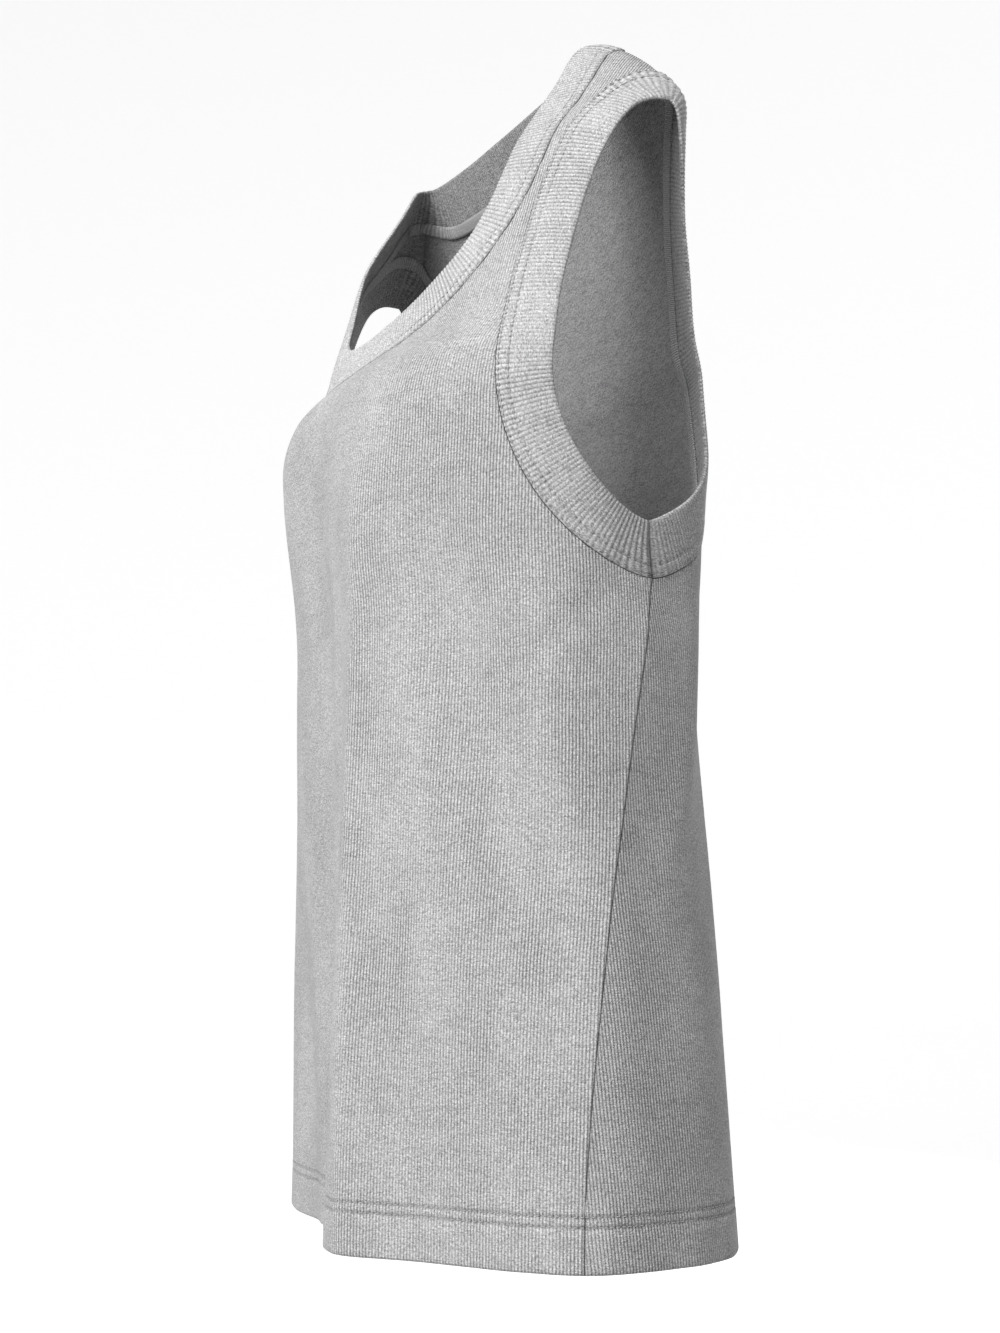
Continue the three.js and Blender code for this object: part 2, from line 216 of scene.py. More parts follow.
def half_width(height):
    drop = NECK_SIDE_HEIGHT - height
    root = np.sqrt(np.maximum(0, RIDGE_SLOPE**2 + 4 * RIDGE_BEND * drop))
    ridge = NECK_SIDE_X + (root - RIDGE_SLOPE) / (2 * RIDGE_BEND)
    width = section_value("half_width", height)
    return 0.5 * (width + ridge - np.hypot(width - ridge, RIDGE_SOFTNESS))


def depth_at(height, towards_back):
    middle = section_value("middle", height)
    back = section_value("back", height) - middle
    front = middle - section_value("front", height)
    return np.where(towards_back, back, front)


def ridge_height(x):
    low, high = RIDGE_FOOT, SECTIONS[-1]["height"]
    for _ in range(40):
        middle = (low + high) / 2
        if half_width(middle) > x:
            low = middle
        else:
            high = middle
    return low


def degrees_from(angle, centre):
    return (np.degrees(angle) - centre + 180) % 360 - 180


def bell(distance, spread):
    return np.exp(-((distance / spread) ** 2))


def chest_depth(angle, height):
    reach = np.where(height < CHEST["height"], CHEST["below"], CHEST["above"])
    rise = 1 - smooth_step(0, reach, np.abs(height - CHEST["height"]))
    left = bell(degrees_from(angle, CHEST["angle"]), CHEST["spread"])
    right = bell(degrees_from(angle, -CHEST["angle"]), CHEST["spread"])
    return CHEST["depth"] * rise * (left + right)


def fold_depth(angle, height):
    opening = 1 - smooth_step(FOLDS_OPEN, FOLDS_START, height)
    towards_middle = smooth_step(0, FOLDS_MIDDLE, height)
    total = 0.0
    for fold in FOLDS:
        depth = mix(fold["at_hem"], fold["at_middle"], towards_middle)
        total = total + depth * bell(degrees_from(angle, fold["angle"]), fold["spread"])
    return total * opening


# A crease is deepest in its middle and fades towards both ends
def crease_depth(angle, height):
    total = 0.0
    for crease in CREASES:
        (a0, h0), (a1, h1) = crease["from"], crease["to"]
        along = clamp01((h0 - height) / (h0 - h1))
        sway = CREASE_SWAY * np.sin(along * 5 + a0)
        across = degrees_from(angle, mix(a0, a1, along) + sway)
        beyond = np.maximum(0, np.maximum(height - h0, h1 - height))
        fade = np.sin(math.pi * mix(0.08, 0.92, along)) ** 0.8 * bell(beyond, CREASE_FADE)
        total = total + crease["depth"] * fade * bell(across, crease["width"] * CREASE_SPREAD)
    return total


def side_edge_depth(angle, height):
    share = clamp01(SIDE_EDGE_HEIGHTS / SIDE_EDGE_HEIGHTS[-1]) ** SIDE_SEAM_LEAN
    seam = np.degrees(place_along(mix(SIDE_SEAM_HEM_Y, ARMHOLE_LOW_Y, share), SIDE_EDGE_HEIGHTS)[0])
    turned = np.abs(degrees_from(angle, 0))
    away = np.abs(turned - np.interp(height, SIDE_EDGE_HEIGHTS, seam))
    fade = 1 - smooth_step(SIDE_EDGE_TOP - SIDE_EDGE_FADE, SIDE_EDGE_TOP, height)
    return SIDE_EDGE_DEPTH * fade * np.exp(-away / SIDE_EDGE_SPREAD)


def cloth_point(angle, height):
    angle = np.asarray(angle, float)
    height = np.asarray(height, float)
    across = np.sin(angle)
    along = -np.cos(angle)
    power = np.where(along > 0, BACK_SQUARENESS, SQUARENESS)
    in_width = np.abs(across / half_width(height)) ** power
    in_depth = np.abs(along / depth_at(height, along > 0)) ** power
    figure = (in_width + in_depth) ** (-1 / power)
    folds = fold_depth(angle, height) + crease_depth(angle, height) + side_edge_depth(angle, height)
    radius = figure + chest_depth(angle, height) + folds
    x = radius * across
    y = section_value("middle", height) + radius * along
    return np.stack([x, y, height + 0 * x], -1)


def cloth_frame(angle, height):
    turn, rise = 0.002, 0.2
    by_angle = (cloth_point(angle + turn, height) - cloth_point(angle - turn, height)) / (2 * turn)
    by_height = (cloth_point(angle, height + rise) - cloth_point(angle, height - rise)) / (2 * rise)
    normal = np.cross(by_angle, by_height)
    normal /= np.linalg.norm(normal, axis=-1, keepdims=True)
    return by_angle, by_height, normal


def off_face(angle, height, distance):
    normal = cloth_frame(angle, height)[2]
    return cloth_point(angle, height) + normal * np.asarray(distance)[..., None]


def dot(a, b):
    return (a * b).sum(-1)


# Walks over the face in straight lines, for many places at once
def walk(angle, height, heading, distance, steps=10):
    angle, height, heading = angle.copy(), height.copy(), heading.copy()
    for _ in range(steps):
        by_angle, by_height, normal = cloth_frame(angle, height)
        heading -= dot(heading, normal)[:, None] * normal
        heading /= np.linalg.norm(heading, axis=1, keepdims=True)
        aa, ah, hh = dot(by_angle, by_angle), dot(by_angle, by_height), dot(by_height, by_height)
        ha, hb = dot(heading, by_angle), dot(heading, by_height)
        scale = distance / steps / (aa * hh - ah * ah)
        angle += (ha * hh - hb * ah) * scale
        height += (hb * aa - ha * ah) * scale
    return angle, height


def place_across(x, height, towards_back):
    power = BACK_SQUARENESS if towards_back else SQUARENESS
    share = np.maximum(0, 1 - np.abs(x / half_width(height)) ** power) ** (1 / power)
    depth = depth_at(height, towards_back)
    return np.arctan2(x, (-depth if towards_back else depth) * share), height


def place_along(y, height):
    along = y - section_value("middle", height)
    depth = depth_at(height, along > 0)
    power = np.where(along > 0, BACK_SQUARENESS, SQUARENESS)
    share = np.maximum(0, 1 - np.abs(along / depth) ** power) ** (1 / power)
    return np.arctan2(half_width(height) * share, -along), height


# Even steps along a curve of places, with both ends
def even_places(place, count):
    share = np.linspace(0, 1, 1600)
    points = cloth_point(*place(share))
    length = np.concatenate([[0], np.cumsum(np.linalg.norm(np.diff(points, axis=0), axis=1))])
    return place(np.interp(np.linspace(0, length[-1], count + 1), length, share))


def neck_edge(towards_back, count):
    top = ridge_height(NECK_SIDE_X)
    low = NECK_BACK_HEIGHT if towards_back else NECK_FRONT_HEIGHT
    fullness = NECK_BACK_FULLNESS if towards_back else NECK_FRONT_FULLNESS

    def place(share):
        rise = (1 - np.cos(math.pi * share)) / 2
        x = NECK_SIDE_X * np.sqrt(1 - (1 - rise) ** fullness)
        return place_across(x, mix(low, top, rise), towards_back)

    return even_places(place, count)


def armhole_edge(side, count):
    top = ridge_height(STRAP_EDGE_X)
    top_y = float(section_value("middle", top))

    def place(share):
        rise = (1 - np.cos(math.pi * share)) / 2
        below = 1 - clamp01(rise / side["peak"])
        above = clamp01((rise - side["peak"]) / (1 - side["peak"]))
        bulge = (1 - below * below) ** side["low_round"] * (1 - above ** side["bend"]) ** side["top_round"]
        y = mix(ARMHOLE_LOW_Y, top_y, rise) + side["reach"] * bulge
        return place_along(y, mix(ARMHOLE_LOW_HEIGHT, top, rise))

    return even_places(place, count)


# Mean of each value and its neighbours round a closed loop, taken again and again
def evened(values, passes):
    for _ in range(passes):
        values = (np.roll(values, 1, axis=0) + 2 * values + np.roll(values, -1, axis=0)) / 4
    return values


# Evens out a loop of places near one of them, and leaves it as it is elsewhere
def softened(angle, height, at, reach, passes):
    count = len(angle)
    away = (np.arange(count) - at + count / 2) % count - count / 2
    near = bell(away, reach)
    return mix(angle, evened(angle, passes), near), mix(height, evened(height, passes), near)


# A closed loop of places with the directions that lead away from the opening, evened out
def opening_loop(angle, height):
    points = cloth_point(angle, height)
    along = evened(np.roll(points, -1, axis=0) - np.roll(points, 1, axis=0), TURN_PASSES)
    away = np.cross(along, cloth_frame(angle, height)[2])
    away /= np.linalg.norm(away, axis=1, keepdims=True)
    steps = np.linalg.norm(np.roll(points, -1, axis=0) - points, axis=1)
    run = np.concatenate([[0], np.cumsum(steps)])
    return {"angle": angle, "height": height, "away": away, "run": run[:-1], "length": run[-1]}


def neck_loop():
    front_angle, front_height = neck_edge(False, NECK_FRONT_STEPS)
    back_angle, back_height = neck_edge(True, NECK_BACK_STEPS)
    angle = np.concatenate([front_angle, back_angle[:-1][::-1]])
    height = np.concatenate([front_height, back_height[:-1][::-1]])
    angle = np.concatenate([angle, -angle[1:-1][::-1]])
    height = np.concatenate([height, height[1:-1][::-1]])
    # The edge turns softly over each shoulder ridge
    for ridge in (NECK_FRONT_STEPS, len(angle) - NECK_FRONT_STEPS):
        angle, height = softened(angle, height, ridge, CORNER_REACH, CORNER_PASSES)
    return opening_loop(angle, height)


def armhole_loop():
    back_angle, back_height = armhole_edge(ARMHOLE_BACK, ARMHOLE_STEPS)
    front_angle, front_height = armhole_edge(ARMHOLE_FRONT, ARMHOLE_STEPS)
    angle = np.concatenate([back_angle, front_angle[1:-1][::-1]])
    height = np.concatenate([back_height, front_height[1:-1][::-1]])
    # The edge bends softly at the back, where the armhole's low round meets its straight upper part
    peak_height = mix(back_height[0], back_height[-1], ARMHOLE_BACK["peak"])
    peak = int(np.argmin(np.abs(back_height - peak_height)))
    angle, height = softened(angle, height, peak, BACK_BEND_REACH, BACK_BEND_PASSES)
    return opening_loop(angle, height)


held_at = off_face(math.pi / 2, ridge_height(HELD_AT_X), -HELD_WALL)
ORIGIN = np.array([0.0, held_at[1], held_at[2]])


# Meshes
def new_mesh_object(name, points, faces, uv, material, inside=None, inside_faces=None, shade=None):
    mesh = bpy.data.meshes.new(name)
    mesh.from_pydata((np.asarray(points) - ORIGIN) * MM, [], [tuple(int(i) for i in f) for f in faces])
    layer = mesh.uv_layers.new(name="cloth")
    loops = np.empty(len(mesh.loops), dtype=np.int64)
    mesh.loops.foreach_get("vertex_index", loops)
    layer.data.foreach_set("uv", (np.asarray(uv)[loops] * MM).astype(np.float32).ravel())
    # The 'shade' attribute holds painted shade, 1 where there is none
    tone = mesh.attributes.new("shade", "FLOAT", "POINT")
    tone.data.foreach_set("value", (np.ones(len(points)) if shade is None else shade).astype(np.float32))
    mesh.polygons.foreach_set("use_smooth", np.ones(len(mesh.polygons), dtype=bool))
    mesh.materials.append(material)
    if inside is not None:
        mesh.materials.append(inside)
        mesh.polygons.foreach_set("material_index", inside_faces.astype(np.int32))
    mesh.update()
    obj = bpy.data.objects.new(name, mesh)
    bpy.context.scene.collection.objects.link(obj)
    return obj


def grid_faces(rows, columns, start=0, close_rows=False, close_columns=False, flip=False):
    r = np.arange(rows if close_rows else rows - 1)
    c = np.arange(columns if close_columns else columns - 1)
    rr, cc = np.meshgrid(r, c, indexing="ij")
    a = start + rr * columns + cc
    b = start + rr * columns + (cc + 1) % columns
    d = start + ((rr + 1) % rows) * columns + cc
    e = start + ((rr + 1) % rows) * columns + (cc + 1) % columns
    quads = np.stack([a, b, e, d], -1).reshape(-1, 4)
    return quads[:, ::-1] if flip else quads


# Half-round from 0 at the edge to 1 at the distance `reach` from it
def rounded(distance, reach):
    share = clamp01(distance / reach)
    return np.sqrt(np.maximum(0, 1 - (1 - share) ** 2))


# Places at growing distances from a loop's edge over the cloth
def stations_from(loop, distances):
    order = np.argsort(distances)
    angle, height, heading = loop["angle"], loop["height"], loop["away"]
    done = 0.0
    places = [None] * len(distances)
    for index in order:
        ahead = distances[index] - done
        if ahead > 0:
            angle, height = walk(angle, height, heading, ahead, max(1, math.ceil(ahead / 3)))
            done = distances[index]
        places[index] = (angle, height)
    return places


# Rib bands
SEAM_ROUND = 0.9
FOLD_ROUND = 1.7
NEEDLE_ROWS = (27.6, 22.3)
NEEDLE_SPREAD = 0.75
STITCH_PITCH = 2.9
STITCH_LENGTH = 2.1
STITCH_SINKS = 0.5
THREAD_RADIUS = 0.25

# Groove where the band's two ends are joined, and the shallower one beside it
JOIN_DEPTH = 0.85
JOIN_SIDE_DEPTH = 0.25
JOIN_SIDE_AT = 2.2

# Distances from the free edge at which a band has its rows of points, outside and inside
BAND_OUTER = [29, 28.75, 28.4, 28.0, 27.6, 27.2, 26.6, 25, 23.4, 22.75, 22.3, 21.85, 21.2]
BAND_OUTER += [18, 14, 10, 6, 3.4, 1.9, 1.0, 0.4, 0.1]
BAND_INNER = [0, 0.1, 0.4, 1.0, 1.9, 4, 9, 15, 21, 26, 28.2, 29]


# Length round a loop, stretched a little so that a whole number of ribs goes round it
def rib_run(loop):
    ribs = round(loop["length"] / RIB_PITCH)
    return loop["run"] * ribs * RIB_PITCH / loop["length"]


def band_offsets(loop, width, outside, join):
    half = RIB_WALL / 2
    middle = RIB_STANDS_OUT - half
    phase = 2 * math.pi * rib_run(loop) / RIB_PITCH
    swell = 1 + 0.12 * np.sin(loop["run"] / 23.0) * np.sin(loop["run"] / 7.3 + 1)
    needle = sum(bell(width - row, NEEDLE_SPREAD) for row in NEEDLE_ROWS) if outside else 0.0
    edge = rounded(np.array(width), FOLD_ROUND)
    seam = rounded(np.array(RIB_WIDTH - width), SEAM_ROUND)
    relief = RIB_RELIEF * (0.5 * np.cos(phase) - 0.5) * (1 - 0.45 * needle) * (0.35 + 0.65 * edge) * swell
    pull = -STITCH_SINKS * needle * (1 + 0.35 * np.cos(2 * math.pi * loop["run"] / STITCH_PITCH))
    gap = loop_gap(loop, join)
    join_groove = JOIN_DEPTH * bell(gap, 0.8) + JOIN_SIDE_DEPTH * bell(gap - JOIN_SIDE_AT, 1.0)
    body = float(edge) * (half * (0.35 + 0.65 * float(seam)) - join_groove)
    wave = 0.28 * np.sin(loop["run"] / 19.0 + width / 9) + 0.2 * np.sin(loop["run"] / 8.3 - width / 7)
    offset = body + relief + pull * (1 if outside else 0)
    return middle + (offset if outside else -offset) + wave * smooth_step(29, 12, width)


# Painted shade that darkens the band's colour: outside in the thread's holes, along the seam and in the
# join's groove, and inside along the seam
def band_shade(loop, width, outside, join):
    needle = sum(bell(width - row, 0.5) for row in NEEDLE_ROWS)
    hole_shade = 0.5 + 0.5 * np.cos(2 * math.pi * loop["run"] / STITCH_PITCH)
    seam = 1 - float(rounded(np.array(RIB_WIDTH - width), 1.0))
    # Painted shade: the holes, the seam and the join's groove darken the colour
    dark = 0.74 * needle * hole_shade**2 + 0.7 * seam + 0.5 * bell(loop_gap(loop, join), 0.7)
    return 1 - np.minimum(0.8, dark) if outside else 1 - 0.6 * seam * np.ones(len(loop["run"]))


def loop_gap(loop, place):
    gap = np.abs(loop["run"] - place)
    return np.minimum(gap, loop["length"] - gap)


def band(name, loop, materials, join, mirrored=False):
    widths = BAND_OUTER + BAND_INNER
    places = stations_from(loop, widths)
    count = len(loop["run"])
    points = np.empty((len(widths), count, 3))
    uv = np.empty((len(widths), count, 2))
    shade = np.empty((len(widths), count))
    for index, width in enumerate(widths):
        outside = index < len(BAND_OUTER)
        shade[index] = band_shade(loop, width, outside, join)
        angle, height = places[index]
        points[index] = off_face(angle, height, band_offsets(loop, width, outside, join))
        uv[index, :, 0] = rib_run(loop)
        uv[index, :, 1] = width if outside else -width
    points = points.reshape(-1, 3)
    faces = grid_faces(len(widths), count, close_rows=True, close_columns=True, flip=True)
    if mirrored:
        points = points * [-1, 1, 1]
        faces = faces[:, ::-1]
    uv = uv.reshape(-1, 2)
    inner = np.repeat(np.arange(len(widths)) >= len(BAND_OUTER), count)
    return new_mesh_object(name, points, faces, uv, *materials, inner, shade.ravel())


# Chain of short stitches that lie in a needle row
def stitch_rows(name, loop, widths, material, offset, mirrored=False):
    rings, sides = 5, 6
    points, uv, faces = [], [], []
    for row, width in enumerate(widths):
        angle, height = stations_from(loop, [width])[0]
        line = off_face(angle, height, offset)
        normal = cloth_frame(angle, height)[2]
        closed = np.concatenate([line, line[:1]])
        normals = np.concatenate([normal, normal[:1]])
        run = np.concatenate([[0], np.cumsum(np.linalg.norm(np.diff(closed, axis=0), axis=1))])
        for index in range(int(run[-1] / STITCH_PITCH)):
            start = index * STITCH_PITCH + 0.4 * math.sin(index * 12.9898 + row)
            at = np.clip(start + STITCH_LENGTH * np.linspace(0, 1, rings), 0, run[-1])
            centre = np.stack([np.interp(at, run, closed[:, k]) for k in range(3)], 1)
            up = np.stack([np.interp(at, run, normals[:, k]) for k in range(3)], 1)
            tangent = np.gradient(centre, axis=0) + 1e-9
            side = np.cross(tangent, up)
            side /= np.linalg.norm(side, axis=1, keepdims=True)
            arch = np.sin(math.pi * np.linspace(0.08, 0.92, rings))
            first = len(points)
            for ring in range(rings):
                for turn in range(sides):
                    around = 2 * math.pi * turn / sides
                    thick = THREAD_RADIUS * (0.35 + 0.65 * arch[ring])
                    lift = 0.22 * arch[ring] - 0.12
                    height_off = lift + thick * math.sin(around)
                    across = side[ring] * thick * math.cos(around)
                    points.append(centre[ring] + up[ring] * height_off + across)
                    uv.append((at[ring], width + turn))
            faces.extend(tuple(f) for f in grid_faces(rings, sides, first, close_columns=True))
            faces.append(tuple(first + k for k in reversed(range(sides))))
            faces.append(tuple(first + (rings - 1) * sides + k for k in range(sides)))
    points = np.array(points)
    if mirrored:
        points = points * [-1, 1, 1]
        faces = [f[::-1] for f in faces]
    return new_mesh_object(name, points, faces, np.array(uv), material)


# Overlocked seam allowance on the inner face, between two distances from the opening's edge
STRIP_FROM = 27.5
STRIP_TO = 35.5
STRIP_DEPTH = 2.1
STRIP_WALL = 1.3


def seam_strip(name, loop, material, mirrored=False):
    thin = {key: (value[::2] if isinstance(value, np.ndarray) else value) for key, value in loop.items()}
    run = thin["run"]
    columns = np.linspace(STRIP_FROM, STRIP_TO, 7)
    section = [(w, False) for w in columns] + [(w, True) for w in columns[::-1]]
    places = stations_from(thin, [w for w, _ in section])
    points = np.empty((len(section), len(run), 3))
    uv = np.empty((len(section), len(run), 2))
    for index, (width, lower) in enumerate(section):
        share = (width - STRIP_FROM) / (STRIP_TO - STRIP_FROM)
        round_off = 0.35 + 0.65 * math.sin(math.pi * mix(0.06, 0.94, share)) ** 0.5
        knots = 0.16 * np.cos(2 * math.pi * run / 3.1 + 1.3 * width) + 0.1 * np.sin(run / 5.7)
        depth = STRIP_DEPTH + (STRIP_WALL * round_off + knots if lower else 0.0)
        points[index] = off_face(*places[index], -depth * np.ones(len(run)))
        uv[index, :, 0] = run
        uv[index, :, 1] = width
    points = points.reshape(-1, 3)
    faces = [tuple(f) for f in grid_faces(len(section), len(run), close_rows=True, close_columns=True)]
    if mirrored:
        points = points * [-1, 1, 1]
    else:
        faces = [f[::-1] for f in faces]
    return new_mesh_object(name, points, faces, uv.reshape(-1, 2), material)


# Panels

# Heights of the lowest rows of points, closest at the hem's edge and at its two needle rows
HEM_NEEDLE_ROWS = (20.5, 25.0)
HEM_HEIGHTS = [0, 0.25, 0.7, 1.5, 3, 8, 14, 19.3, 20.1, 20.5, 20.9, 21.7, 23.6, 24.5, 25, 25.5, 26.4, 27.6]

# Distances below the neck seam of the last rows at the centre
CLOSE_ROWS = [3.0, 1.8, 0.9, 0.35, 0.0]
FRONT_NECK_ROWS = 64
BACK_NECK_ROWS = 38

# The hem's soft swelling and ripples between its rows, and how deep the thread draws it in
HEM_PUFF = 0.35
HEM_RIPPLE = 0.22
HEM_NEEDLE_DEPTH = 0.55

# How the cloth rolls under at a seam, and the shallow hollow beside it
ROLL_DEPTH = 0.9
ROLL_REACH = 1.7
HOLLOW_DEPTH = 0.25
HOLLOW_AT = 3.2
HOLLOW_SPREAD = 1.6


def side_seam_places(height, underarm):
    share = (height / float(underarm[1])) ** SIDE_SEAM_LEAN
    y = mix(SIDE_SEAM_HEM_Y, float(cloth_point(*underarm)[1]), share)
    return place_along(y, height)


def edge_rows(underarm, top, rows):
    low = SIDE_ROWS - len(HEM_HEIGHTS) + 1
    first = HEM_HEIGHTS + [mix(HEM_HEIGHTS[-1], underarm, row / low) for row in range(1, low + 1)]
    rest = rows - SIDE_ROWS
    if not rest:
        return np.array(first)
    high = rest - len(CLOSE_ROWS)
    below = top - CLOSE_ROWS[0] - 1.8
    spread = [mix(underarm, below, (row / high) ** ROW_EASE) for row in range(1, high + 1)]
    return np.array(first + spread + [top - gap for gap in CLOSE_ROWS])


def picked(angle, height, count):
    index = np.linspace(0, len(angle) - 1, count + 1)
    own = np.arange(len(angle))
    return np.interp(index, own, angle), np.interp(index, own, height)


def column_shares():
    close = [0, 0.0015, 0.004, 0.008, 0.014]
    middle = list(np.linspace(0.024, 0.976, HALF_COLUMNS - 2 * len(close) + 1))
    return np.array(close + middle + [1 - value for value in close[::-1]])


# Length of cloth along a level line from the centre, for the run of the ribs
class Tape:
    def __init__(self, centre):
        self.heights = np.linspace(-2, SECTIONS[-1]["height"] - 4, TAPE_ROWS)
        self.angles = np.linspace(0, math.pi / 2 + 0.9, TAPE_COLUMNS)
        grid_angle, grid_height = np.meshgrid(self.angles, self.heights)
        points = cloth_point(centre + grid_angle, grid_height)
        steps = np.linalg.norm(np.diff(points, axis=1), axis=2)
        self.run = np.concatenate([np.zeros((len(self.heights), 1)), np.cumsum(steps, axis=1)], axis=1)

    def at(self, turn, height):
        r = np.interp(height, self.heights, np.arange(len(self.heights)))
        c = np.interp(np.abs(turn), self.angles, np.arange(len(self.angles)))
        r0 = np.minimum(r.astype(int), len(self.heights) - 2)
        c0 = np.minimum(c.astype(int), len(self.angles) - 2)
        fr, fc = r - r0, c - c0
        low = self.run[r0, c0] * (1 - fc) + self.run[r0, c0 + 1] * fc
        high = self.run[r0 + 1, c0] * (1 - fc) + self.run[r0 + 1, c0 + 1] * fc
        return np.sign(turn) * (low * (1 - fr) + high * fr)


def nearest(points, line):
    best = np.full(len(points), 1e9)
    for start in range(0, len(points), 2000):
        block = points[start : start + 2000]
        gaps = np.linalg.norm(block[:, None] - line[None], axis=2)
        best[start : start + 2000] = gaps.min(axis=1)
    return best


def panel(name, centre, neck_seam, armhole_seam, neck_rows, materials):
    front = centre == 0.0
    towards_seam = -SEAM_GAP / 2 if front else SEAM_GAP / 2
    underarm = (armhole_seam[0][0], armhole_seam[1][0])
    centre_rows = ROWS - neck_rows
    inner_height = edge_rows(underarm[1], neck_seam[1][0], centre_rows)
    seam_angle, seam_height = picked(neck_seam[0], neck_seam[1], neck_rows)
    inner_angle = np.concatenate([np.full(centre_rows + 1, centre), seam_angle[1:]])
    inner_height = np.concatenate([inner_height, seam_height[1:]])
    low_height = edge_rows(underarm[1], underarm[1], SIDE_ROWS)
    low_angle, low_height = side_seam_places(low_height, underarm)
    arm_angle, arm_height = picked(armhole_seam[0], armhole_seam[1], ROWS - SIDE_ROWS)
    shift = towards_seam / np.linalg.norm(cloth_frame(low_angle, low_height)[0], axis=1)
    outer_angle = np.concatenate([low_angle + shift, arm_angle[1:]])
    outer_height = np.concatenate([low_height, arm_height[1:]])

    shares = column_shares()
    angle = mix(inner_angle[:, None], outer_angle[:, None], shares[None])
    height = mix(inner_height[:, None], outer_height[:, None], shares[None])
    last = towards_seam / np.linalg.norm(cloth_frame(angle[-1], height[-1])[0], axis=1)
    angle[-1] += last

    # The cloth rolls under where it meets a band, the other panel or its own folded hem
    flat = cloth_point(angle, height).reshape(-1, 3)
    neck_line = cloth_point(neck_seam[0], neck_seam[1])[::4]
    arm_line = cloth_point(armhole_seam[0], armhole_seam[1])[::4]
    side_edge = cloth_point(outer_angle[: SIDE_ROWS + 1], outer_height[: SIDE_ROWS + 1])
    even = np.linspace(0, SIDE_ROWS, 900)
    side_line = np.stack([np.interp(even, np.arange(SIDE_ROWS + 1), side_edge[:, k]) for k in range(3)], 1)
    gap = np.minimum.reduce([nearest(flat, line) for line in (neck_line, arm_line, side_line)])
    gap = gap.reshape(angle.shape)
    hollow = HOLLOW_DEPTH * bell(gap - HOLLOW_AT, HOLLOW_SPREAD)
    tuck = -ROLL_DEPTH * (1 - rounded(gap, ROLL_REACH)) - hollow
    hem = rounded(height, 1.5)
    needle = sum(bell(height - row, 0.55) for row in HEM_NEEDLE_ROWS)
    tape = Tape(centre)
    turn = angle - centre
    run = tape.at(turn, height)
    puff = HEM_PUFF * smooth_step(26, 17, height) * (0.6 + 0.4 * np.sin(run / 17.0) * np.sin(run / 6.1 + 1))
    ripple = HEM_RIPPLE * np.sin(run / 5.2 + np.sin(run / 31.0) * 2) * smooth_step(32, 23, height)
    outside = tuck - 1.5 * (1 - hem) - HEM_NEEDLE_DEPTH * needle + puff + ripple
    wall = np.where(height <= HEM_DEPTH, HEM_WALL, PANEL_WALL)
    inside = -1.5 - (wall - 1.5) * hem + 0.5 * ripple
    # Painted shade where the cloth rolls under at the seams and along the hem's needle rows, carried to the
    # colour by the 'shade' attribute
    dark = 0.72 * (1 - rounded(gap, 1.5)) + 0.42 * needle
    shade_half = np.concatenate([1 - np.minimum(0.75, dark).ravel(), np.ones(dark.size)])

    rows, columns = angle.shape
    outer_half = off_face(angle, height, outside)
    inner_half = off_face(angle, height, inside)
    u = run if front else -run
    index = np.arange(rows * columns).reshape(rows, columns)
    both = np.concatenate([outer_half.reshape(-1, 3), inner_half.reshape(-1, 3)])
    uv_face = np.stack([u.ravel(), height.ravel()], 1)
    uv_left = np.concatenate([uv_face, uv_face])
    # The other half has folds of its own, so its points are worked out anew
    other_angle = -angle
    outer_other = off_face(other_angle, height, outside)
    inner_other = off_face(other_angle, height, inside)
    both_other = np.concatenate([outer_other.reshape(-1, 3), inner_other.reshape(-1, 3)])
    uv_right = uv_left * [-1, 1]

    count = rows * columns
    points = np.concatenate([both, both_other])
    shade = np.concatenate([shade_half, shade_half])
    uv = np.concatenate([uv_left, uv_right])
    faces = []
    inner = []
    for side, base in ((0, 0), (1, 2 * count)):
        flip = (side == 0) != front
        quads = grid_faces(rows, columns, base)
        outer_quads = quads[:, ::-1] if flip else quads
        inner_quads = quads + count
        inner_quads = inner_quads if flip else inner_quads[:, ::-1]
        faces += [outer_quads, inner_quads]
        inner += [np.zeros(len(outer_quads)), np.ones(len(inner_quads))]
        # Rims: hem, outer edge, top and, above the centre's rows, the neck seam
        lines = [index[0], index[:, -1], index[-1, ::-1], index[centre_rows:, 0][::-1]]
        for line in lines:
            a, b = base + line[:-1], base + line[1:]
            rim = np.stack([b, a, a + count, b + count], 1)
            faces.append(rim[:, ::-1] if flip else rim)
            inner.append(np.zeros(len(rim)))
    faces = np.concatenate(faces)
    # Join the halves along the centre
    join = {}
    for row in range(centre_rows + 1):
        join[2 * count + index[row, 0]] = index[row, 0]
        join[3 * count + index[row, 0]] = count + index[row, 0]
    table = np.arange(len(points))
    for old, kept in join.items():
        table[old] = kept
    faces = table[faces]
    keep = np.unique(faces)
    renumber = np.full(len(points), -1)
    renumber[keep] = np.arange(len(keep))
    inner = np.concatenate(inner)
    return new_mesh_object(name, points[keep], renumber[faces], uv[keep], *materials, inner, shade[keep])


